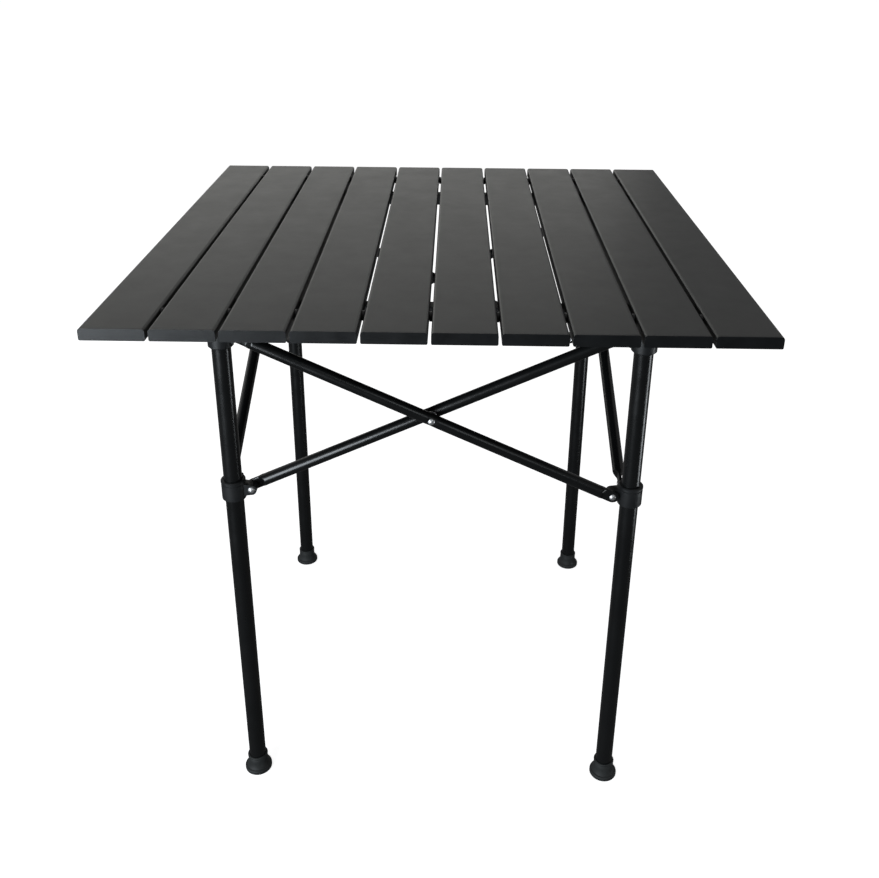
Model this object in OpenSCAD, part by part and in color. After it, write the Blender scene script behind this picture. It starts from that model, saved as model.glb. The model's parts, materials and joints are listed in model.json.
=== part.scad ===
// Folding side table: a roll-up slat top on two rails, over a four-leg frame with crossed braces.
// Millimetres. X runs left to right, Y front to rear, Z up. The origin is on the floor, under the centre.

/* [Overall] */
// height of the top surface above the floor
table_h = 700; // [500:5:800]
// length of the top along the slats, and its width across them
top_size = 700; // [680:5:800]
// distance between leg axes along either side
leg_pitch = 474; // [420:2:500]

/* [Slats] */
// width of one slat
slat_w = 67; // [56:0.5:67]
// thickness of one slat
slat_t = 13; // [10:0.5:18]
// wall and rib thickness of the hollow slat
slat_wall = 1; // [0.8:0.1:2]
// radius on the slat's upper long edges
slat_r_top = 3.2; // [1:0.1:5]
// radius on the slat's lower long edges
slat_r_low = 1.6; // [0.5:0.1:3]
// thickness of the end cap's face plate
cap_plate = 3; // [2:0.5:5]
// how far the end cap's plugs go in
cap_plug = 12; // [6:1:20]

/* [Elastic cords] */
// radius of the elastic cord
cord_r = 2.5; // [1.5:0.1:3]
// radius of the cord's holes through the slats
cord_hole_r = 2.8; // [1.8:0.1:3.4]
// distance of each cord from the slat ends
cord_inset = 60; // [40:1:90]
// outer radius of the spacer rings between slats
spacer_r = 5.5; // [4:0.1:6]
// play between a spacer ring and the slats beside it
spacer_gap = 0.22; // [0.1:0.02:0.5]
// radius of the knot at each cord end
knot_r = 4.6; // [3.5:0.1:5]

/* [Rails] */
// width of a rail, front to rear
rail_w = 18; // [14:0.5:24]
// height of a rail
rail_h = 16.2; // [12:0.1:20]
// how far a rail's end stops short of the top's edge
rail_inset = 5; // [0:1:30]
// wall of the rail tube
rail_wall = 1.5; // [1:0.1:3]
// edge radius of the rail tube
rail_r = 1.5; // [0.5:0.1:3]
// gap between the rails and the slats
rail_gap = 0.4; // [0.3:0.1:1]

/* [Legs] */
// outer radius of a leg tube
leg_r = 11; // [8:0.5:11.5]
// wall of a leg tube
leg_wall = 1.2; // [0.8:0.1:2]
// height of the flange at the bottom of the foot
foot_base_h = 7; // [6:0.5:10]
// height of the whole foot
foot_h = 25; // [20:1:45]
// radius of the foot's flange
foot_base_r = 18; // [17:0.5:24]
// radius of the foot's sleeve
foot_sleeve_r = 13.2; // [12.8:0.1:13.8]
// rubber under the end of the leg tube
foot_floor = 6; // [4:0.5:10]

/* [Hubs and collars] */
// radius of the hub and collar bodies
hub_r = 14.5; // [13.6:0.1:16.5]
// depth of the upper brace pins below the top surface
pin_depth = 52; // [50:1:60]
// height of the upper brace pins over the lower ones
pin_rise = 200; // [150:5:260]
// distance of each brace pin from the leg axis
pin_reach = 22; // [20:0.5:28]
// half thickness of the lugs that carry the pins
lug_half = 6.2; // [4:0.1:6.2]
// radius of the lug ends
lug_r = 6.5; // [5:0.1:8]
// height of the sliding collar
collar_h = 26; // [18:0.5:36]
// radial clearance between a collar and its leg
collar_gap = 0.3; // [0.3:0.05:1]
// height of the hub body under the rail
hub_low = 14.5; // [8:0.5:16]

/* [Braces] */
// outer radius of a brace tube
brace_r = 7.25; // [5:0.25:7.5]
// wall of a brace tube
brace_wall = 1; // [0.8:0.1:1.6]
// distance of the brace tubes' planes from the leg axes
brace_plane = 8.5; // [8.3:0.1:10]
// thickness of the flattened brace ends
paddle_t = 4; // [3:0.1:4.4]
// distance from the pin at which the flattened end starts to swell
swell_start = 10; // [9:0.5:14]
// distance from the pin at which the brace is fully round
swell_end = 18; // [15:0.5:36]

/* [Rivets] */
// radius of a rivet shank
rivet_r = 2.5; // [1.5:0.1:3]
// radius of a rivet head
rivet_head_r = 4; // [3:0.1:5]
// height of a rivet head
rivet_head_h = 1.9; // [1:0.1:3]
// radial clearance where a lug or a brace turns on a rivet
pivot_gap = 0.05; // [0.01:0.01:0.1]
// radial clearance where a rivet is fixed in its own brace
seat_gap = 0.03; // [0.01:0.01:0.05]
// radius of the spacer washer where two braces cross
washer_r = 6.2; // [4:0.1:8]
// depth of the flat faced into a tube under a crossing rivet's head
spot_depth = 0.8; // [0.3:0.1:1]

/* [Hidden] */
$fn = 48;
cut = 1;
slat_count = 10;
pitch_x = (top_size - slat_w) / (slat_count - 1);
slat_low_z = table_h - slat_t;
cord_z = table_h - slat_t / 2;
cord_y = top_size / 2 - cord_inset;
spacer_t = pitch_x - slat_w - 2 * spacer_gap;
cell_w = (slat_w - 4 * slat_wall) / 3;
cell_h = slat_t - 2 * slat_wall;
cap_fit = 0.2;
slat_body = top_size - 2 * cap_plate;
rail_top_z = slat_low_z - rail_gap;
rail_low_z = rail_top_z - rail_h;
rail_len = top_size - 2 * rail_inset;
rail_plate = 2;
rail_plug = 12;
saddle_gap = 0.35;
saddle_wall = 4.1;
saddle_len = 28;
saddle_floor_z = rail_low_z - 0.3;
saddle_top_z = rail_top_z - 0.3;
pin_top_z = table_h - pin_depth;
pin_low_z = pin_top_z - pin_rise;
hub_low_z = pin_top_z - hub_low;
leg_top_z = saddle_floor_z - 5;
leg_low_z = foot_floor;
fit_r = leg_r + 0.05;
brace_span = leg_pitch - 2 * pin_reach;
brace_drop = pin_top_z - pin_low_z;
brace_len = sqrt(brace_span * brace_span + brace_drop * brace_drop);
brace_angle = atan2(brace_drop, brace_span);
cross_z = (pin_top_z + pin_low_z) / 2;
washer_half = brace_plane - brace_r - 0.3;
corner = [[-1, -1], [1, -1], [1, 1], [-1, 1]];
black = [0.1, 0.1, 0.11];
grey = [0.28, 0.28, 0.29];
rubber = [0.16, 0.16, 0.16];
steel = [0.72, 0.72, 0.74];

// points of an arc in the profile plane
function arc(cx, cy, r, a0, a1, n) =
    [for (i = [0:n]) [cx + r * cos(a0 + (a1 - a0) * i / n), cy + r * sin(a0 + (a1 - a0) * i / n)]];

// x of the middle of slat k, counted from 1
function slat_x(k) = (k - (slat_count + 1) / 2) * pitch_x;

// moves children onto the axis of leg i: front left, front right, rear right, rear left
module at_leg(i) {
    translate([corner[i].x * leg_pitch / 2, corner[i].y * leg_pitch / 2, 0]) children();
}

// turns children, drawn for the front, to side i: front, right, rear, left
module at_side(i) {
    rotate([0, 0, 90 * i]) children();
}

// a bar along Y with rounded edges, centred on x = 0, between two heights
module edged_bar(w, z0, z1, len, r_top, r_low) {
    difference() {
        translate([-w / 2, -len / 2, z0]) cube([w, len, z1 - z0]);
        for (s = [-1, 1]) {
            edge_cut(s, w, z1, len, r_top, 1);
            edge_cut(s, w, z0, len, r_low, -1);
        }
    }
}

// the material outside one rounded edge: s is its side, and up is 1 for the upper edge
module edge_cut(s, w, z, len, r, up) {
    difference() {
        translate([s * (w / 2 - r / 2 + cut / 2), 0, z - up * (r / 2 - cut / 2)])
            cube([r + cut, len + 2 * cut, r + cut], center = true);
        translate([s * (w / 2 - r), 0, z - up * r])
            rotate([90, 0, 0]) cylinder(r = r, h = len + 4 * cut, center = true);
    }
}

// ---- legs ----

module leg_tube(i) {
    color(black) at_leg(i) translate([0, 0, leg_low_z]) difference() {
        cylinder(r = leg_r, h = leg_top_z - leg_low_z);
        translate([0, 0, -cut]) cylinder(r = leg_r - leg_wall, h = leg_top_z - leg_low_z + 2 * cut);
    }
}

// one lug along +X with its pin hole, at height z
module lug(z, root_half) {
    translate([0, 0, z]) rotate([90, 0, 0]) {
        linear_extrude(height = 2 * lug_half, center = true)
            polygon([[0, -root_half], [0, root_half], [pin_reach, lug_r], [pin_reach, -lug_r]]);
        translate([pin_reach, 0, 0]) cylinder(r = lug_r, h = 2 * lug_half, center = true);
    }
}

// the pin holes of both lugs of leg i, at height z
module lug_holes(i, z) {
    rotate([0, 0, 90 * i]) for (a = [0, 90]) {
        rotate([0, 0, a]) translate([pin_reach, 0, z]) rotate([90, 0, 0])
            cylinder(r = rivet_r + pivot_gap, h = 2 * lug_half + 2 * cut, center = true);
    }
}

module hub_body() {
    z1 = saddle_floor_z;
    rotate_extrude() polygon(concat(
        [[0, hub_low_z], [hub_r - 1.6, hub_low_z], [hub_r, hub_low_z + 1.6], [hub_r, z1 - 8]],
        [[hub_r - 0.7, z1 - 7.2], [hub_r - 0.7, z1 - 6], [hub_r, z1 - 5.2], [hub_r, z1], [0, z1]]
    ));
}

module hub_saddle() {
    side = rail_w / 2 + saddle_gap;
    difference() {
        translate([0, 0, saddle_floor_z - 4]) intersection() {
            translate([-saddle_len / 2, -side - saddle_wall, 0])
                cube([saddle_len, 2 * (side + saddle_wall), saddle_top_z - saddle_floor_z + 4]);
            cylinder(r = 17.6, h = saddle_top_z - saddle_floor_z + 4);
        }
        translate([-saddle_len, -side, saddle_floor_z])
            cube([2 * saddle_len, 2 * side, saddle_top_z]);
    }
}

module hub(i) {
    color(grey) at_leg(i) difference() {
        union() {
            hub_body();
            hub_saddle();
            rotate([0, 0, 90 * i]) {
                lug(pin_top_z, hub_low - 1);
                rotate([0, 0, 90]) lug(pin_top_z, hub_low - 1);
            }
        }
        translate([0, 0, hub_low_z - cut]) cylinder(r = fit_r, h = leg_top_z + 0.2 - hub_low_z + cut);
        lug_holes(i, pin_top_z);
    }
}

module collar(i) {
    z0 = pin_low_z - collar_h / 2;
    z1 = pin_low_z + collar_h / 2;
    color(grey) at_leg(i) difference() {
        union() {
            rotate_extrude() polygon(concat(
                [[leg_r, z0], [hub_r - 1, z0]],
                arc(hub_r - 1.2, z0 + 1.4, 1.2, -60, 0, 4),
                [[hub_r, z1 - 5.5], [hub_r - 0.7, z1 - 4.9], [hub_r - 0.7, z1 - 4.2], [hub_r + 0.3, z1 - 3.4]],
                [[hub_r + 0.3, z1 - 1.2], [hub_r - 0.9, z1], [leg_r, z1]]
            ));
            rotate([0, 0, 90 * i]) {
                lug(pin_low_z, collar_h / 2 - 3.5);
                rotate([0, 0, 90]) lug(pin_low_z, collar_h / 2 - 3.5);
            }
        }
        translate([0, 0, z0 - cut]) cylinder(r = leg_r + collar_gap, h = collar_h + 2 * cut);
        lug_holes(i, pin_low_z);
    }
}

module foot(i) {
    base = foot_base_r;
    sleeve = foot_sleeve_r;
    color(rubber) at_leg(i) rotate_extrude() polygon(concat(
        [[0, 0], [base - 2.5, 0]],
        arc(base - 2, 2, 2, -60, 0, 4),
        arc(base - 2.2, foot_base_h - 2.2, 2.2, 0, 80, 5),
        [[sleeve + 1.4, foot_base_h], [sleeve, foot_base_h + 7]],
        arc(sleeve - 1.2, foot_h - 1.2, 1.2, 0, 90, 4),
        [[fit_r, foot_h], [fit_r, foot_floor], [0, foot_floor]]
    ));
}

// ---- braces ----

// a brace from its upper pin at the origin along +X, with both ends flattened across Y
module brace(mid_gap, face_side) {
    half = paddle_t / 2;
    tip = lug_r + cut;
    end = brace_len;
    color(black) difference() {
        intersection() {
            union() {
                rotate([0, 90, 0]) cylinder(r = brace_r, h = end);
                for (x = [0, end]) {
                    translate([x, 0, 0]) rotate([90, 0, 0]) cylinder(r = brace_r, h = paddle_t, center = true);
                }
            }
            linear_extrude(height = 2 * brace_r + 2, center = true) polygon([
                [-tip, -half], [swell_start, -half], [swell_end, -brace_r - 0.1],
                [end - swell_end, -brace_r - 0.1], [end - swell_start, -half], [end + tip, -half],
                [end + tip, half], [end - swell_start, half], [end - swell_end, brace_r + 0.1],
                [swell_end, brace_r + 0.1], [swell_start, half], [-tip, half]
            ]);
        }
        translate([swell_end + 2, 0, 0]) rotate([0, 90, 0])
            cylinder(r = brace_r - brace_wall, h = end - 2 * swell_end - 4);
        for (x = [0, end]) {
            translate([x, 0, 0]) rotate([90, 0, 0])
                cylinder(r = rivet_r + seat_gap, h = 3 * paddle_t, center = true);
        }
        translate([end / 2, 0, 0]) rotate([90, 0, 0])
            cylinder(r = rivet_r + mid_gap, h = 3 * brace_r, center = true);
        translate([end / 2, face_side * (brace_r - spot_depth + cut), 0]) rotate([90, 0, 0])
            cylinder(r = rivet_head_r + 0.4, h = 2 * cut, center = true);
    }
}

// outer braces start at the hub on the left of their side, seen from outside
module outer_brace(i) {
    at_side(i) translate([-brace_span / 2, -leg_pitch / 2 - brace_plane, pin_top_z])
        rotate([0, brace_angle, 0]) brace(seat_gap, -1);
}

// inner braces start at the hub on the right of their side
module inner_brace(i) {
    at_side(i) translate([brace_span / 2, -leg_pitch / 2 + brace_plane, pin_top_z])
        rotate([0, 180 - brace_angle, 0]) brace(pivot_gap, 1);
}

// a rivet along Y between the two faces that its heads rest on
module rivet(y0, y1) {
    cap_r = (rivet_head_r * rivet_head_r + rivet_head_h * rivet_head_h) / (2 * rivet_head_h);
    cap_a = asin(rivet_head_r / cap_r);
    color(steel) rotate([-90, 0, 0]) rotate_extrude() polygon(concat(
        arc(0, y0 - rivet_head_h + cap_r, cap_r, -90, -90 + cap_a, 6),
        [[rivet_r, y0], [rivet_r, y1]],
        arc(0, y1 + rivet_head_h - cap_r, cap_r, 90 - cap_a, 90, 6)
    ));
}

// face distances from the leg plane, measured outwards
lug_face = lug_half + 0.2;
paddle_face = brace_plane + paddle_t / 2 + 0.02;
cross_face = brace_plane + brace_r - spot_depth;

module outer_rivets(i) {
    at_side(i) translate([0, -leg_pitch / 2, 0]) {
        translate([-brace_span / 2, 0, pin_top_z]) rivet(-paddle_face, lug_face);
        translate([brace_span / 2, 0, pin_low_z]) rivet(-paddle_face, lug_face);
        translate([0, 0, cross_z]) rivet(-cross_face - 0.02, cross_face + 0.2);
        color(steel) translate([0, 0, cross_z]) rotate([90, 0, 0]) difference() {
            cylinder(r = washer_r, h = 2 * washer_half, center = true);
            cylinder(r = rivet_r + seat_gap, h = 4 * washer_half, center = true);
        }
    }
}

module inner_rivets(i) {
    at_side(i) translate([0, -leg_pitch / 2, 0]) {
        translate([brace_span / 2, 0, pin_top_z]) rivet(-lug_face, paddle_face);
        translate([-brace_span / 2, 0, pin_low_z]) rivet(-lug_face, paddle_face);
    }
}

// ---- rails: s is -1 for the front and 1 for the rear ----

module rail(s) {
    tube = rail_len - 2 * rail_plate;
    color(black) translate([0, s * leg_pitch / 2, 0]) rotate([0, 0, 90]) difference() {
        edged_bar(rail_w, rail_low_z, rail_top_z, tube, rail_r, rail_r);
        translate([-rail_w / 2 + rail_wall, -tube / 2 - cut, rail_low_z + rail_wall])
            cube([rail_w - 2 * rail_wall, tube + 2 * cut, rail_h - 2 * rail_wall]);
    }
}

module rail_plugs(s) {
    inner = rail_w - 2 * rail_wall - 2 * cap_fit;
    tall = rail_h - 2 * rail_wall - 2 * cap_fit;
    color(grey) translate([0, s * leg_pitch / 2, 0]) for (e = [0, 180]) {
        rotate([0, 0, e + 90]) {
            translate([0, -rail_len / 2 + rail_plate / 2, 0])
                edged_bar(rail_w, rail_low_z, rail_top_z, rail_plate, rail_r, rail_r);
            translate([-inner / 2, -rail_len / 2 + rail_plate / 2, rail_low_z + rail_wall + cap_fit])
                cube([inner, rail_plug, tall]);
        }
    }
}

// ---- slats ----

// the hollow cells of a slat, shrunk by gap on every side
module cells(gap, len) {
    for (c = [-1, 0, 1]) {
        translate([c * (cell_w + slat_wall), 0, cord_z])
            cube([cell_w - 2 * gap, len, cell_h - 2 * gap], center = true);
    }
}

module slat(k) {
    reach = slat_x(slat_count) + cell_w + slat_wall;
    color(grey) difference() {
        translate([slat_x(k), 0, 0]) difference() {
            edged_bar(slat_w, slat_low_z, table_h, slat_body, slat_r_top, slat_r_low);
            cells(0, top_size);
        }
        for (s = [-1, 1]) {
            translate([-reach, s * cord_y, cord_z]) rotate([0, 90, 0])
                cylinder(r = cord_hole_r, h = 2 * reach);
        }
    }
}

module end_caps(k) {
    color(black) translate([slat_x(k), 0, 0]) for (s = [-1, 1]) {
        translate([0, s * (top_size - cap_plate) / 2, 0])
            edged_bar(slat_w, slat_low_z, table_h, cap_plate, slat_r_top, slat_r_low);
        translate([0, s * (slat_body - cap_plug) / 2, 0]) cells(cap_fit, cap_plug + 0.02);
    }
}

// ---- elastic cords ----

module shock_cord(s) {
    reach = slat_x(slat_count) + cell_w + slat_wall;
    color(black) translate([0, s * cord_y, cord_z]) {
        rotate([0, 90, 0]) cylinder(r = cord_r, h = 2 * reach, center = true);
        for (e = [-1, 1]) {
            translate([e * reach, 0, 0]) sphere(r = knot_r);
        }
    }
}

module cord_spacers() {
    color(black) for (k = [1:slat_count - 1]) {
        for (s = [-1, 1]) {
            translate([slat_x(k) + pitch_x / 2, s * cord_y, cord_z]) rotate([0, 90, 0]) difference() {
                cylinder(r = spacer_r, h = spacer_t, center = true);
                cylinder(r = cord_hole_r, h = 2 * spacer_t, center = true);
            }
        }
    }
}

leg_tube(0);  // front_left_leg_tube
leg_tube(1);  // front_right_leg_tube
leg_tube(2);  // rear_right_leg_tube
leg_tube(3);  // rear_left_leg_tube
hub(0);  // front_left_hub
hub(1);  // front_right_hub
hub(2);  // rear_right_hub
hub(3);  // rear_left_hub
collar(0);  // front_left_collar
collar(1);  // front_right_collar
collar(2);  // rear_right_collar
collar(3);  // rear_left_collar
foot(0);  // front_left_foot
foot(1);  // front_right_foot
foot(2);  // rear_right_foot
foot(3);  // rear_left_foot
outer_brace(0);  // front_outer_brace
outer_brace(1);  // right_outer_brace
outer_brace(2);  // rear_outer_brace
outer_brace(3);  // left_outer_brace
inner_brace(0);  // front_inner_brace
inner_brace(1);  // right_inner_brace
inner_brace(2);  // rear_inner_brace
inner_brace(3);  // left_inner_brace
outer_rivets(0);  // front_outer_brace_rivets
outer_rivets(1);  // right_outer_brace_rivets
outer_rivets(2);  // rear_outer_brace_rivets
outer_rivets(3);  // left_outer_brace_rivets
inner_rivets(0);  // front_inner_brace_rivets
inner_rivets(1);  // right_inner_brace_rivets
inner_rivets(2);  // rear_inner_brace_rivets
inner_rivets(3);  // left_inner_brace_rivets
rail(-1);  // front_rail
rail(1);  // rear_rail
rail_plugs(-1);  // front_rail_end_plugs
rail_plugs(1);  // rear_rail_end_plugs
slat(1);  // slat_01
slat(2);  // slat_02
slat(3);  // slat_03
slat(4);  // slat_04
slat(5);  // slat_05
slat(6);  // slat_06
slat(7);  // slat_07
slat(8);  // slat_08
slat(9);  // slat_09
slat(10);  // slat_10
end_caps(1);  // slat_01_end_caps
end_caps(2);  // slat_02_end_caps
end_caps(3);  // slat_03_end_caps
end_caps(4);  // slat_04_end_caps
end_caps(5);  // slat_05_end_caps
end_caps(6);  // slat_06_end_caps
end_caps(7);  // slat_07_end_caps
end_caps(8);  // slat_08_end_caps
end_caps(9);  // slat_09_end_caps
end_caps(10);  // slat_10_end_caps
shock_cord(-1);  // front_shock_cord
shock_cord(1);  // rear_shock_cord
cord_spacers();
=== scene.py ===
"""Looks for the folding side table: materials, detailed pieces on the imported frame, studio and camera."""
import json
import math

import bmesh
import bpy
from mathutils import Matrix, Vector

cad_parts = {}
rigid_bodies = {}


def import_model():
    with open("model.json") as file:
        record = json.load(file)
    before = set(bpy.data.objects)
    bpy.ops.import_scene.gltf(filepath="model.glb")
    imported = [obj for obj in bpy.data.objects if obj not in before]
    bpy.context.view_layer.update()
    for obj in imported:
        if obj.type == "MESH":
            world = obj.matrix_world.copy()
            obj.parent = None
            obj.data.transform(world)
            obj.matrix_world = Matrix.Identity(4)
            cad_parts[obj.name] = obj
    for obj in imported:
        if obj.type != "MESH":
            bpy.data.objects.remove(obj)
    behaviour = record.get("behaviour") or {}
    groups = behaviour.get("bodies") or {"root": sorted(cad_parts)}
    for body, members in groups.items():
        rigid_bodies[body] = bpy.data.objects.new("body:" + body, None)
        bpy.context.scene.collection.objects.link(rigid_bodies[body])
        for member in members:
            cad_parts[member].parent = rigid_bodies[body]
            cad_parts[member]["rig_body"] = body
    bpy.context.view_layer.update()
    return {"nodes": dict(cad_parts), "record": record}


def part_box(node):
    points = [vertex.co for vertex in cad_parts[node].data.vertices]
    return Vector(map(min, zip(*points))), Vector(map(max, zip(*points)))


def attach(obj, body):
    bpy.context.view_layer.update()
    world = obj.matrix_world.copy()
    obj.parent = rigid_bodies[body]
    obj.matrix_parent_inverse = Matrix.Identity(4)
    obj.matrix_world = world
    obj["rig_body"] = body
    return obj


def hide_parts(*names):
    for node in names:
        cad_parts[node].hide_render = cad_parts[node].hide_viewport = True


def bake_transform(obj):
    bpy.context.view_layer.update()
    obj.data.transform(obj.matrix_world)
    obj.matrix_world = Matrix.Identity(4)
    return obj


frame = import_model()

NODES = frame["nodes"]
SIDES = ("front", "right", "rear", "left")
CORNERS = ("front_left", "front_right", "rear_right", "rear_left")
SLATS = sorted(n for n in NODES if n.startswith("slat_") and n[5:].isdigit())
MM = 0.001


# ---- where things are, read from the frame ----

def centre(node):
    """Middle of a CAD node's box."""
    low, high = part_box(node)
    return (low + high) / 2


def body_of(node):
    """Name of the CAD body that a node belongs to."""
    return NODES[node]["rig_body"]


def runs_along_x(side):
    """True if the side's braces run along X, as the front and rear ones do."""
    return side in ("front", "rear")


def outward(side):
    """Unit vector that points out of the table on a side."""
    return {
        "front": Vector((0, -1, 0)),
        "right": Vector((1, 0, 0)),
        "rear": Vector((0, 1, 0)),
        "left": Vector((-1, 0, 0)),
    }[side]


def leftward(side):
    """Unit vector to the left of someone who looks at a side from outside."""
    return Vector((0, 0, 1)).cross(outward(side)) * -1


def brace_pins(side, layer):
    """Upper and lower pin of a brace, on the tube's own plane, and the tube's radius."""
    low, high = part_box(f"{side}_{layer}_brace")
    middle = (low + high) / 2
    across = 1 if runs_along_x(side) else 0
    radius = (high[across] - low[across]) / 2
    half_span = (high[1 - across] - low[1 - across]) / 2 - radius
    toward = leftward(side) * (half_span if layer == "outer" else -half_span)
    rise = Vector((0, 0, (high.z - low.z) / 2 - radius))
    return middle + toward + rise, middle - toward - rise, radius


# ---- materials ----

NOISE_LOW = 0.3
NOISE_HIGH = 0.7
THREAD_LEAN = math.radians(35)


def new_material(name):
    """A node material: itself, its link function, its shader, and a helper that adds nodes."""
    material = bpy.data.materials.new(name)
    material.use_nodes = True
    tree = material.node_tree
    shader = tree.nodes["Principled BSDF"]

    def add(kind, **settings):
        node = tree.nodes.new(kind)
        for key, value in settings.items():
            setattr(node, key, value)
        return node

    return material, tree.links.new, shader, add


def object_noise(link, add, scale, detail, roughness=0.55):
    """Noise in the object's own metres, so it rides with the piece."""
    coords = add("ShaderNodeTexCoord")
    texture = add("ShaderNodeTexNoise")
    texture.inputs["Scale"].default_value = scale
    texture.inputs["Detail"].default_value = detail
    texture.inputs["Roughness"].default_value = roughness
    link(coords.outputs["Object"], texture.inputs["Vector"])
    return texture.outputs["Fac"]


def ramp(link, add, value, low, high):
    """Colour between two colours, driven by a noise value."""
    node = add("ShaderNodeValToRGB")
    node.color_ramp.elements[0].position = NOISE_LOW
    node.color_ramp.elements[1].position = NOISE_HIGH
    node.color_ramp.elements[0].color = (*low, 1)
    node.color_ramp.elements[1].color = (*high, 1)
    link(value, node.inputs["Fac"])
    return node.outputs["Color"]


def span(link, add, value, low, high):
    """Number between two numbers, driven by a noise value."""
    node = add("ShaderNodeMapRange")
    node.inputs["From Min"].default_value = NOISE_LOW
    node.inputs["From Max"].default_value = NOISE_HIGH
    node.inputs["To Min"].default_value = low
    node.inputs["To Max"].default_value = high
    link(value, node.inputs["Value"])
    return node.outputs["Result"]


def bump(link, add, shader, layers):
    """Stacks height layers, each (height socket, distance in metres), into the shader's normal."""
    last = None
    for height, distance in layers:
        node = add("ShaderNodeBump")
        node.inputs["Strength"].default_value = 1.0
        node.inputs["Distance"].default_value = distance
        link(height, node.inputs["Height"])
        if last is not None:
            link(last.outputs["Normal"], node.inputs["Normal"])
        last = node
    link(last.outputs["Normal"], shader.inputs["Normal"])


def powder_coat(name, low, high, rough, peel_scale, peel_depth):
    """Baked powder paint: two tones in soft clouds, rubbing marks, and orange peel of a scale and depth."""
    material, link, shader, add = new_material(name)
    peel = object_noise(link, add, scale=peel_scale, detail=4.0)
    cloud = object_noise(link, add, scale=5.0, detail=3.0)
    rub = object_noise(link, add, scale=35.0, detail=5.0, roughness=0.6)
    link(ramp(link, add, cloud, low, high), shader.inputs["Base Color"])
    link(span(link, add, rub, *rough), shader.inputs["Roughness"])
    shader.inputs["Specular IOR Level"].default_value = 0.5
    bump(link, add, shader, [(peel, peel_depth)])
    return material


def moulded_plastic(name, low, high, rough):
    """Finely textured moulded plastic, with a faint flow of tone."""
    material, link, shader, add = new_material(name)
    texture = object_noise(link, add, scale=2600.0, detail=2.0)
    flow = object_noise(link, add, scale=40.0, detail=3.0)
    link(ramp(link, add, flow, low, high), shader.inputs["Base Color"])
    link(span(link, add, flow, *rough), shader.inputs["Roughness"])
    shader.inputs["Specular IOR Level"].default_value = 0.45
    bump(link, add, shader, [(texture, 0.04 * MM)])
    return material


def foot_rubber():
    """Matte rubber with dust in its pores."""
    material, link, shader, add = new_material("foot_rubber")
    pores = object_noise(link, add, scale=1500.0, detail=5.0, roughness=0.7)
    dust = object_noise(link, add, scale=70.0, detail=5.0, roughness=0.65)
    link(ramp(link, add, dust, (0.014, 0.0155, 0.0155), (0.026, 0.028, 0.028)), shader.inputs["Base Color"])
    link(span(link, add, dust, 0.55, 0.75), shader.inputs["Roughness"])
    shader.inputs["Specular IOR Level"].default_value = 0.4
    bump(link, add, shader, [(pores, 0.08 * MM)])
    return material


def plated_steel():
    """Bright rivet steel with fine turning marks."""
    material, link, shader, add = new_material("rivet_steel")
    marks = object_noise(link, add, scale=900.0, detail=4.0, roughness=0.6)
    tone = object_noise(link, add, scale=220.0, detail=2.0)
    link(ramp(link, add, tone, (0.80, 0.80, 0.81), (0.93, 0.93, 0.93)), shader.inputs["Base Color"])
    link(span(link, add, marks, 0.34, 0.50), shader.inputs["Roughness"])
    shader.inputs["Metallic"].default_value = 1.0
    bump(link, add, shader, [(marks, 0.02 * MM)])
    return material


def braided_cord():
    """Elastic cord in a woven sheath: two sets of slanting threads cross along X, with painted shade
    darkening the grooves of one set.
    """
    material, link, shader, add = new_material("elastic_cord")
    coords = add("ShaderNodeTexCoord")
    heights = []
    for lean in (1, -1):
        mapping = add("ShaderNodeMapping")
        mapping.inputs["Rotation"].default_value = (0, lean * THREAD_LEAN, 0)
        wave = add("ShaderNodeTexWave", wave_type="BANDS", bands_direction="X")
        wave.inputs["Scale"].default_value = 350.0
        link(coords.outputs["Object"], mapping.inputs["Vector"])
        link(mapping.outputs["Vector"], wave.inputs["Vector"])
        heights.append(wave.outputs["Fac"])
    # painted shade: the colour follows one thread set's height, darker in its grooves
    painted_groove_shade = ramp(link, add, heights[0], (0.008, 0.008, 0.009), (0.028, 0.028, 0.03))
    link(painted_groove_shade, shader.inputs["Base Color"])
    shader.inputs["Roughness"].default_value = 0.8
    shader.inputs["Sheen Weight"].default_value = 0.3
    bump(link, add, shader, [(height, 0.2 * MM) for height in heights])
    return material


MATERIALS = {
    "slat_paint": powder_coat(
        "slat_paint", low=(0.0270, 0.0285, 0.0265), high=(0.0305, 0.0322, 0.0300),
        rough=(0.36, 0.41), peel_scale=1100.0, peel_depth=0.02 * MM,
    ),
    "frame_paint": powder_coat(
        "frame_paint", low=(0.0042, 0.0047, 0.0050), high=(0.0068, 0.0073, 0.0077),
        rough=(0.23, 0.32), peel_scale=900.0, peel_depth=0.012 * MM,
    ),
    "rail_paint": powder_coat(
        "rail_paint", low=(0.006, 0.006, 0.0065), high=(0.010, 0.010, 0.0105),
        rough=(0.35, 0.5), peel_scale=900.0, peel_depth=0.03 * MM,
    ),
    "cap_plastic": moulded_plastic(
        "cap_plastic", low=(0.0040, 0.0046, 0.0052), high=(0.0068, 0.0076, 0.0084), rough=(0.30, 0.38)
    ),
    "hub_plastic": moulded_plastic(
        "hub_plastic", low=(0.008, 0.009, 0.010), high=(0.014, 0.015, 0.016), rough=(0.40, 0.52)
    ),
    "foot_rubber": foot_rubber(),
    "rivet_steel": plated_steel(),
    "elastic_cord": braided_cord(),
    "spacer_plastic": moulded_plastic(
        "spacer_plastic", low=(0.006, 0.006, 0.007), high=(0.011, 0.011, 0.012), rough=(0.4, 0.5)
    ),
}


def paint(obj, slot):
    """Gives a piece the material of one of the record's slots."""
    obj.data.materials.clear()
    obj.data.materials.append(MATERIALS[slot])


for row in frame["record"]["subparts"]:
    paint(NODES[row["node"]], row["material_slot"])


# ---- mesh helpers ----

EDGE_ANGLE = math.radians(35)
ON_AXIS = 1e-9


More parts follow.
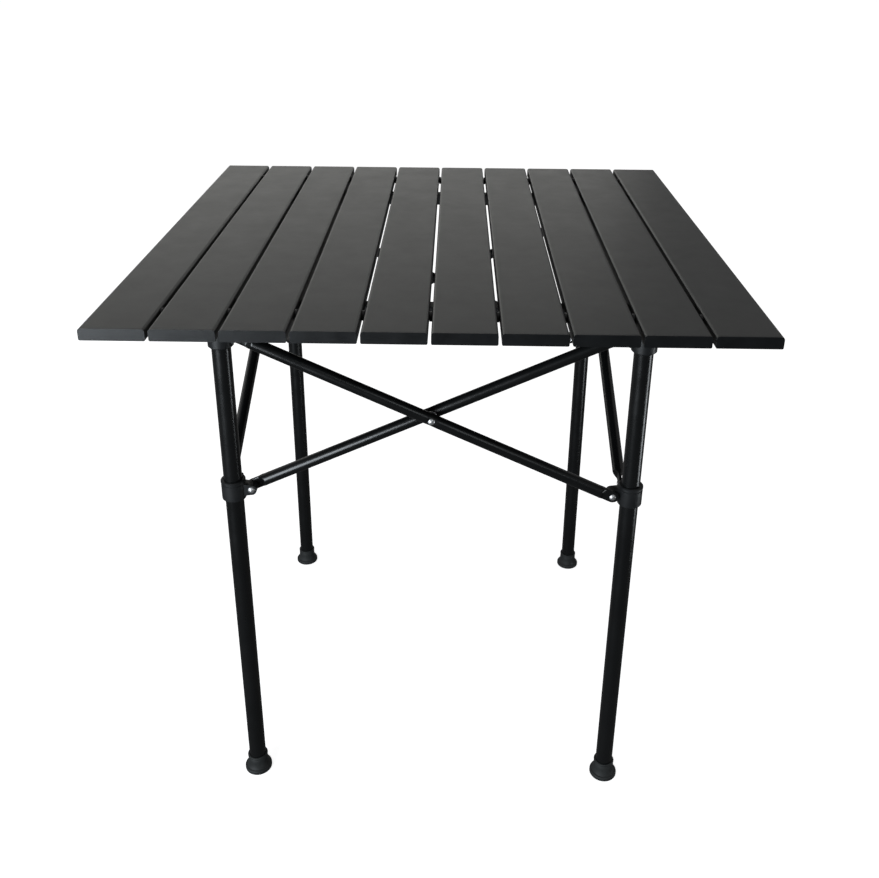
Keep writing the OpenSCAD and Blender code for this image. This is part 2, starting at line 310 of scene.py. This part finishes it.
def finish_mesh(name, mesh, smooth_angle=EDGE_ANGLE):
    """Makes an object of a bmesh, smooth except at its real edges."""
    bmesh.ops.recalc_face_normals(mesh, faces=mesh.faces)
    for face in mesh.faces:
        face.smooth = True
    for edge in mesh.edges:
        edge.smooth = edge.calc_face_angle(math.pi) < smooth_angle
    data = bpy.data.meshes.new(name)
    mesh.to_mesh(data)
    mesh.free()
    obj = bpy.data.objects.new(name, data)
    bpy.context.scene.collection.objects.link(obj)
    return obj


def place(obj, node, slot):
    """Rides a detailed piece on a CAD node's body, in that node's place."""
    paint(obj, slot)
    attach(obj, body_of(node))
    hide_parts(node)
    return obj


def loft(mesh, rings):
    """Joins rings of points, all of one length, into a closed skin."""
    loops = [[mesh.verts.new(point) for point in ring] for ring in rings]
    count = len(loops[0])
    for lower, upper in zip(loops, loops[1:]):
        for i in range(count):
            j = (i + 1) % count
            mesh.faces.new((lower[i], lower[j], upper[j], upper[i]))
    mesh.faces.new(loops[0])
    mesh.faces.new(loops[-1])


def lathe(mesh, profile, base, axis, steps):
    """Turns a profile of (radius, height) points about an axis; one that ends off the axis is closed."""
    axis = axis.normalized()
    side = axis.orthogonal().normalized()
    other = axis.cross(side)
    rings = []
    for radius, height in profile:
        if radius < ON_AXIS:
            rings.append([mesh.verts.new(base + axis * height)])
            continue
        ring = []
        for i in range(steps):
            angle = 2 * math.pi * i / steps
            around = side * math.cos(angle) + other * math.sin(angle)
            ring.append(mesh.verts.new(base + axis * height + around * radius))
        rings.append(ring)
    for lower, upper in zip(rings, rings[1:]):
        for i in range(steps):
            j = (i + 1) % steps
            below = (lower[i % len(lower)], lower[j % len(lower)])
            above = (upper[j % len(upper)], upper[i % len(upper)])
            corners = list(dict.fromkeys(below + above))
            if len(corners) > 2:
                mesh.faces.new(corners)
    if len(rings[0]) > 1 and len(rings[-1]) > 1:
        for i in range(steps):
            j = (i + 1) % steps
            mesh.faces.new((rings[-1][i], rings[-1][j], rings[0][j], rings[0][i]))


def arc(radius_at, height_at, radius, start, end, steps):
    """Points of a profile arc, angles in degrees."""
    points = []
    for i in range(steps + 1):
        angle = math.radians(start + (end - start) * i / steps)
        points.append((radius_at + radius * math.cos(angle), height_at + radius * math.sin(angle)))
    return points


def smoothstep(value):
    """Eases 0 to 1."""
    value = min(1.0, max(0.0, value))
    return value * value * (3 - 2 * value)


# ---- braces: tubes crushed flat at their ends ----

PADDLE_HALF = 2.0 * MM
SWELL_START = 10 * MM
SWELL_END = 18 * MM
DIMPLE_DEPTH = 0.8 * MM
DIMPLE_REACH = 9 * MM
DIMPLE_SPREAD = 1.6
ROUND_POWER = 2
BOXY_POWER = 4.5
RING_POINTS = 40
TIP_ANGLES = range(8, 81, 12)
SWELL_RINGS = 10
DIMPLE_RINGS = 6
BRACE_EDGE_ANGLE = math.radians(50)


def brace_section(along, length, radius, face_side):
    """One ring of a brace: (across, up) pairs at a distance along it from its upper pin."""
    from_end = min(along, length - along)
    swell = smoothstep((from_end - SWELL_START) / (SWELL_END - SWELL_START))
    thick = PADDLE_HALF + (radius - PADDLE_HALF) * swell
    wide = radius
    if from_end < 0:
        wide = radius * math.sqrt(max(0.0, 1 - (from_end / radius) ** 2))
    power = 2 / (ROUND_POWER + (BOXY_POWER - ROUND_POWER) * (1 - swell))
    dimple = DIMPLE_DEPTH * smoothstep(1 - abs(along - length / 2) / DIMPLE_REACH)
    ring = []
    for i in range(RING_POINTS):
        angle = 2 * math.pi * i / RING_POINTS
        c, s = math.cos(angle), math.sin(angle)
        across = thick * math.copysign(abs(c) ** power, c)
        up = wide * math.copysign(abs(s) ** power, s)
        if across * face_side > 0:
            across -= face_side * dimple * smoothstep(abs(c) * DIMPLE_SPREAD)
        ring.append((across, up))
    return ring


def brace_stations(length, radius):
    """Distances of a brace's rings from its upper pin, close together where the shape changes."""
    tip = [-radius * math.cos(math.radians(angle)) for angle in TIP_ANGLES]
    paddle = [0.0, SWELL_START * 0.5]
    swell = [SWELL_START + (SWELL_END - SWELL_START) * i / SWELL_RINGS for i in range(SWELL_RINGS + 1)]
    middle = [length / 2 + DIMPLE_REACH * i / DIMPLE_RINGS for i in range(-DIMPLE_RINGS, DIMPLE_RINGS + 1)]
    end = tip + paddle + swell
    return end + middle + [length - along for along in reversed(end)]


def build_brace(side, layer):
    """One brace, lofted through its flattened ends and its rivet dimple."""
    upper, lower, radius = brace_pins(side, layer)
    run = lower - upper
    length = run.length
    run.normalize()
    across = outward(side)
    up = across.cross(run)
    face_side = 1 if layer == "outer" else -1
    mesh = bmesh.new()
    rings = []
    for along in brace_stations(length, radius):
        base = upper + run * along
        ring = brace_section(along, length, radius, face_side)
        rings.append([base + across * a + up * u for a, u in ring])
    loft(mesh, rings)
    obj = finish_mesh(f"{side}_{layer}_tube", mesh, BRACE_EDGE_ANGLE)
    return place(obj, f"{side}_{layer}_brace", "frame_paint")


# ---- rivets ----

LUG_FACE = 6.25 * MM
HEAD_RADIUS = 4.0 * MM
HEAD_HEIGHT = 1.85 * MM
SHANK_RADIUS = 2.4 * MM
TAIL_SHARE = 0.86
TAIL_ROUND = 0.9 * MM
TAIL_LIFT = 0.6 * MM
CRATER_RADIUS = 1.3 * MM
CRATER_LIP = 0.35 * MM
CRATER_FLOOR = 0.2 * MM
WASHER_RADIUS = 6.2 * MM
WASHER_EDGE = 0.3 * MM
WASHER_PLAY = 0.3 * MM
ROUND_STEPS = 32


def rivet_profile(near, far):
    """A rivet from its domed head below near to its rolled tail above far."""
    dome = (HEAD_RADIUS ** 2 + HEAD_HEIGHT ** 2) / (2 * HEAD_HEIGHT)
    sweep = math.degrees(math.asin(HEAD_RADIUS / dome))
    head = arc(0, near - HEAD_HEIGHT + dome, dome, -90, -90 + sweep, 8)
    shank = [(HEAD_RADIUS, near), (SHANK_RADIUS, near), (SHANK_RADIUS, far)]
    tail_radius = HEAD_RADIUS * TAIL_SHARE
    tail = [(tail_radius, far)] + arc(tail_radius - TAIL_ROUND, far + TAIL_LIFT, TAIL_ROUND, 0, 150, 8)
    crater = [(CRATER_RADIUS, far + CRATER_LIP), (0.0, far + CRATER_FLOOR)]
    return head + shank + tail + crater


def washer_profile(half):
    """A washer of twice half in thickness, with broken edges."""
    rim = WASHER_RADIUS - WASHER_EDGE
    return [
        (SHANK_RADIUS, -half),
        (rim, -half),
        (WASHER_RADIUS, -half + WASHER_EDGE),
        (WASHER_RADIUS, half - WASHER_EDGE),
        (rim, half),
        (SHANK_RADIUS, half),
    ]


def add_rivet(mesh, point, out, near, far):
    """A rivet through a point on the legs' plane: near and far are its grip, measured inwards."""
    lathe(mesh, rivet_profile(near, far), point, -out, ROUND_STEPS)


def build_rivets(side, layer):
    """All the rivets of one brace, and on an outer brace the crossing washer."""
    upper, lower, radius = brace_pins(side, layer)
    out = outward(side)
    plane = centre("front_left_leg_tube").dot(outward("front"))
    offset = upper.dot(out) - plane
    mesh = bmesh.new()
    for pin in (upper, lower):
        base = pin - out * offset
        if layer == "outer":
            add_rivet(mesh, base, out, -(offset + PADDLE_HALF), LUG_FACE)
        else:
            add_rivet(mesh, base, out, -LUG_FACE, -offset + PADDLE_HALF)
    if layer == "outer":
        base = (upper + lower) / 2 - out * offset
        grip = offset + radius - DIMPLE_DEPTH
        add_rivet(mesh, base, out, -grip, grip)
        lathe(mesh, washer_profile(offset - radius - WASHER_PLAY), base, -out, ROUND_STEPS)
    obj = finish_mesh(f"{side}_{layer}_rivets", mesh)
    return place(obj, f"{side}_{layer}_brace_rivets", "rivet_steel")


# ---- feet ----

FOOT_WALL = 2.2 * MM
FLANGE_HEIGHT = 6.4 * MM
FLANGE_EDGE = 1.6 * MM
FLANGE_CROWN = 2.4 * MM
FLARE = 2.3 * MM
FLARE_HEIGHT = 9 * MM
FLARE_POWER = 2.2
FLARE_RINGS = 8
NECK_INSET = 0.1 * MM
NECK_DROP = 4.0 * MM
GROOVE_INSET = 0.45 * MM
GROOVE_DROP = 3.5 * MM
LIP_INSET = 1.35 * MM
LIP_ROUND = 1.6 * MM
LIP_DEPTH = 1.2 * MM
TUBE_PLAY = 0.08 * MM
TREAD_DEPTH = 0.9 * MM
TREAD_SLOPE = 0.25 * MM
TREAD_WIDTH = 1.4 * MM
TREAD_RINGS = (4.0 * MM, 8.0 * MM, 12.0 * MM)
FOOT_STEPS = 72


def build_foot(corner):
    """A rubber foot: a flared cup with a rolled lip, on a thin round flange with a ringed tread."""
    node = f"{corner}_foot"
    low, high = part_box(node)
    axis_point = Vector(((low.x + high.x) / 2, (low.y + high.y) / 2, 0))
    flange = (high.x - low.x) / 2
    top = high.z
    tube_low, tube_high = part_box(f"{corner}_leg_tube")
    tube = (tube_high.x - tube_low.x) / 2
    sleeve = tube + FOOT_WALL
    tread = []
    for radius in TREAD_RINGS:
        tread += [
            (radius, 0),
            (radius + TREAD_SLOPE, TREAD_DEPTH),
            (radius + TREAD_WIDTH - TREAD_SLOPE, TREAD_DEPTH),
            (radius + TREAD_WIDTH, 0),
        ]
    rim = arc(flange - FLANGE_EDGE, FLANGE_EDGE, FLANGE_EDGE, -90, 0, 5)
    rim += arc(flange - FLANGE_CROWN, FLANGE_HEIGHT - FLANGE_CROWN, FLANGE_CROWN, 0, 74, 6)
    flare = []
    for i in range(FLARE_RINGS + 1):
        t = i / FLARE_RINGS
        spread = FLARE * (1 - t) ** FLARE_POWER
        flare.append((sleeve + spread, FLANGE_HEIGHT + FLARE_HEIGHT * t))
    neck = [(sleeve - NECK_INSET, top - NECK_DROP), (sleeve - GROOVE_INSET, top - GROOVE_DROP)]
    lip = arc(sleeve - LIP_INSET, top - LIP_ROUND, LIP_ROUND, -55, 110, 10)
    inner = [(tube + TUBE_PLAY, top - LIP_DEPTH), (tube + TUBE_PLAY, tube_low.z), (0, tube_low.z)]
    mesh = bmesh.new()
    profile = [(0, 0)] + tread + rim + flare + neck + lip + inner
    lathe(mesh, profile, axis_point, Vector((0, 0, 1)), FOOT_STEPS)
    obj = finish_mesh(f"{corner}_foot_cup", mesh)
    return place(obj, node, "foot_rubber")


# ---- hubs, collars and slat end caps: the CAD shape with broken edges ----

HUB_EDGE = 0.5 * MM
CAP_EDGE = 0.7 * MM
EDGE_SEGMENTS = 3
WELD = 0.01 * MM
FLAT_ANGLE = math.radians(1)


def build_bevelled(node, name, slot, width):
    """A copy of a CAD node with every sharp edge rounded off."""
    mesh = bmesh.new()
    mesh.from_mesh(NODES[node].data)
    bmesh.ops.remove_doubles(mesh, verts=mesh.verts, dist=WELD)
    bmesh.ops.dissolve_limit(mesh, angle_limit=FLAT_ANGLE, verts=mesh.verts, edges=mesh.edges)
    obj = finish_mesh(name, mesh)
    bevel = obj.modifiers.new("edges", "BEVEL")
    bevel.width = width
    bevel.segments = EDGE_SEGMENTS
    bevel.limit_method = "ANGLE"
    bevel.angle_limit = EDGE_ANGLE
    bevel.harden_normals = True
    return place(obj, node, slot)


# ---- elastic cord and spacer rings in each gap ----

CORD_TUCK = 2.0 * MM
CORD_RADIUS = 2.5 * MM
CORD_RINGS = 12
CORD_STEPS = 24
SPACER_RADIUS = 5.5 * MM
SPACER_BORE = 2.6 * MM
SPACER_PLAY = 0.24 * MM
SPACER_EDGE = 0.4 * MM


def cord_profile(reach):
    """A closed length of cord, ringed so that it can bend."""
    skin = [(CORD_RADIUS, -reach + 2 * reach * i / CORD_RINGS) for i in range(CORD_RINGS + 1)]
    return [(0, -reach)] + skin + [(0, reach)]


def spacer_profile(half):
    """A bored spacer of twice half in length, with rounded shoulders."""
    shoulder = SPACER_RADIUS - SPACER_EDGE
    profile = [(SPACER_BORE, -half), (shoulder, -half)]
    profile += arc(shoulder, -half + SPACER_EDGE, SPACER_EDGE, -70, 0, 3)
    profile += arc(shoulder, half - SPACER_EDGE, SPACER_EDGE, 0, 90, 3)
    return profile + [(SPACER_BORE, half)]


def build_gap_pieces(index):
    """The cords and spacer rings between two neighbouring slats."""
    left, right = SLATS[index], SLATS[index + 1]
    start_x, end_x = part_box(left)[1].x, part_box(right)[0].x
    half_gap = (end_x - start_x) / 2
    for row in ("front", "rear"):
        cord = f"{row}_shock_cord"
        middle = centre(cord)
        middle.x = (start_x + end_x) / 2
        for kind, profile, steps, slot, node in (
            ("cord", cord_profile(half_gap + CORD_TUCK), CORD_STEPS, "elastic_cord", cord),
            ("spacer", spacer_profile(half_gap - SPACER_PLAY), ROUND_STEPS, "spacer_plastic", "cord_spacers"),
        ):
            mesh = bmesh.new()
            lathe(mesh, profile, middle, Vector((1, 0, 0)), steps)
            obj = finish_mesh(f"{row}_{kind}_gap_{index + 1:02d}", mesh)
            paint(obj, slot)
            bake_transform(obj)
            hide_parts(node)


for side in SIDES:
    for layer in ("outer", "inner"):
        build_brace(side, layer)
        build_rivets(side, layer)
for corner in CORNERS:
    build_foot(corner)
    build_bevelled(f"{corner}_hub", f"{corner}_hub_casting", "hub_plastic", HUB_EDGE)
    build_bevelled(f"{corner}_collar", f"{corner}_collar_moulding", "hub_plastic", HUB_EDGE)
for slat in SLATS:
    build_bevelled(f"{slat}_end_caps", f"{slat}_caps", "cap_plastic", CAP_EDGE)
for i in range(len(SLATS) - 1):
    build_gap_pieces(i)


# ---- studio ----

FLOOR_GLOW = 0.8
BACKDROP = 1.0
ROOM_LOW = 0.065
ROOM_HIGH = 0.31
BRIGHT_WAY = (-0.2, 0.5, 0.84)
DIMMEST_AT = -0.3
BRIGHTEST_AT = 0.9
FLOOR_HALF = 30
WHITE = (1, 1, 1, 1)
CAMERA_PLACE = Vector((22.9, -1235.1, 1073.7)) * MM
CAMERA_YAW = -0.0144
CAMERA_PITCH = 0.4122
CAMERA_ROLL = 0.0071
SENSOR_WIDTH = 36.0
LENS = 39.89
SHIFT_UP = -0.1064


def build_floor():
    """A wide white floor that runs into the backdrop and keeps out of the object's reflections."""
    mesh = bmesh.new()
    bmesh.ops.create_grid(mesh, x_segments=1, y_segments=1, size=FLOOR_HALF)
    floor = finish_mesh("floor", mesh)
    material, link, shader, add = new_material("floor_white")
    tone = object_noise(link, add, scale=2.0, detail=2.0)
    link(ramp(link, add, tone, (0.90, 0.90, 0.90), (0.92, 0.92, 0.92)), shader.inputs["Base Color"])
    shader.inputs["Roughness"].default_value = 0.9
    shader.inputs["Specular IOR Level"].default_value = 0.1
    shader.inputs["Emission Color"].default_value = WHITE
    shader.inputs["Emission Strength"].default_value = FLOOR_GLOW
    floor.data.materials.append(material)
    floor.visible_diffuse = False
    floor.visible_glossy = False


def add_softbox(name, place_at, target, size, radiance, colour):
    """A rectangular area light aimed at a point, set by how bright its face is."""
    light = bpy.data.lights.new(name, "AREA")
    light.shape = "RECTANGLE"
    light.size, light.size_y = size
    light.energy = radiance * math.pi * size[0] * size[1]
    light.color = colour
    obj = bpy.data.objects.new(name, light)
    obj.location = place_at
    obj.rotation_euler = (Vector(target) - Vector(place_at)).to_track_quat("-Z", "Y").to_euler()
    obj.visible_camera = False
    bpy.context.scene.collection.objects.link(obj)


def build_world():
    """A white backdrop, and the dimmer room around the camera that the paint reflects."""
    world = bpy.data.worlds.new("studio")
    world.use_nodes = True
    tree = world.node_tree
    room = tree.nodes["Background"]
    room.inputs["Color"].default_value = WHITE
    backdrop = tree.nodes.new("ShaderNodeBackground")
    backdrop.inputs["Color"].default_value = WHITE
    backdrop.inputs["Strength"].default_value = BACKDROP
    coords = tree.nodes.new("ShaderNodeTexCoord")
    facing = tree.nodes.new("ShaderNodeVectorMath")
    facing.operation = "DOT_PRODUCT"
    facing.inputs[1].default_value = BRIGHT_WAY
    tree.links.new(coords.outputs["Generated"], facing.inputs[0])
    fade = tree.nodes.new("ShaderNodeMapRange")
    fade.inputs["From Min"].default_value = DIMMEST_AT
    fade.inputs["From Max"].default_value = BRIGHTEST_AT
    fade.inputs["To Min"].default_value = ROOM_LOW
    fade.inputs["To Max"].default_value = ROOM_HIGH
    tree.links.new(facing.outputs["Value"], fade.inputs["Value"])
    tree.links.new(fade.outputs["Result"], room.inputs["Strength"])
    seen = tree.nodes.new("ShaderNodeLightPath")
    choose = tree.nodes.new("ShaderNodeMixShader")
    tree.links.new(seen.outputs["Is Camera Ray"], choose.inputs["Fac"])
    tree.links.new(room.outputs["Background"], choose.inputs[1])
    tree.links.new(backdrop.outputs["Background"], choose.inputs[2])
    tree.links.new(choose.outputs["Shader"], tree.nodes["World Output"].inputs["Surface"])
    bpy.context.scene.world = world


def build_camera():
    """The product shot's camera: close to the middle line, looking down at the front edge."""
    level_forward = Vector((math.sin(CAMERA_YAW), math.cos(CAMERA_YAW), 0))
    level_right = Vector((math.cos(CAMERA_YAW), -math.sin(CAMERA_YAW), 0))
    forward = level_forward * math.cos(CAMERA_PITCH) - Vector((0, 0, math.sin(CAMERA_PITCH)))
    level_up = level_right.cross(forward)
    right = level_right * math.cos(CAMERA_ROLL) + level_up * math.sin(CAMERA_ROLL)
    up = level_up * math.cos(CAMERA_ROLL) - level_right * math.sin(CAMERA_ROLL)
    data = bpy.data.cameras.new("camera")
    data.sensor_width = SENSOR_WIDTH
    data.lens = LENS
    data.shift_y = SHIFT_UP
    data.dof.use_dof = False
    camera = bpy.data.objects.new("camera", data)
    turn = Matrix((right, up, -forward)).transposed()
    camera.matrix_world = Matrix.Translation(CAMERA_PLACE) @ turn.to_4x4()
    bpy.context.scene.collection.objects.link(camera)
    bpy.context.scene.camera = camera


build_floor()
build_world()
add_softbox(
    "window", place_at=(-1.35, -1.95, 0.6), target=(0, -0.2, 0.5),
    size=(1.2, 1.2), radiance=10.0, colour=(0.87, 0.94, 1.0),
)
add_softbox(
    "back", place_at=(-1.15, 2.6, 1.15), target=(0, 0, 0.7),
    size=(4.4, 0.9), radiance=0.80, colour=(1.0, 1.0, 0.95),
)
add_softbox(
    "fill", place_at=(1.0, -2.1, 1.5), target=(0, -0.25, 0.5),
    size=(0.6, 0.6), radiance=2.0, colour=(0.9, 0.97, 1.0),
)
add_softbox(
    "bounce", place_at=(1.25, -0.35, 0.1), target=(0.2, -0.25, 0.45),
    size=(0.25, 0.5), radiance=7.0, colour=(0.9, 0.96, 1.0),
)
build_camera()
bpy.context.scene.view_settings.view_transform = "Standard"
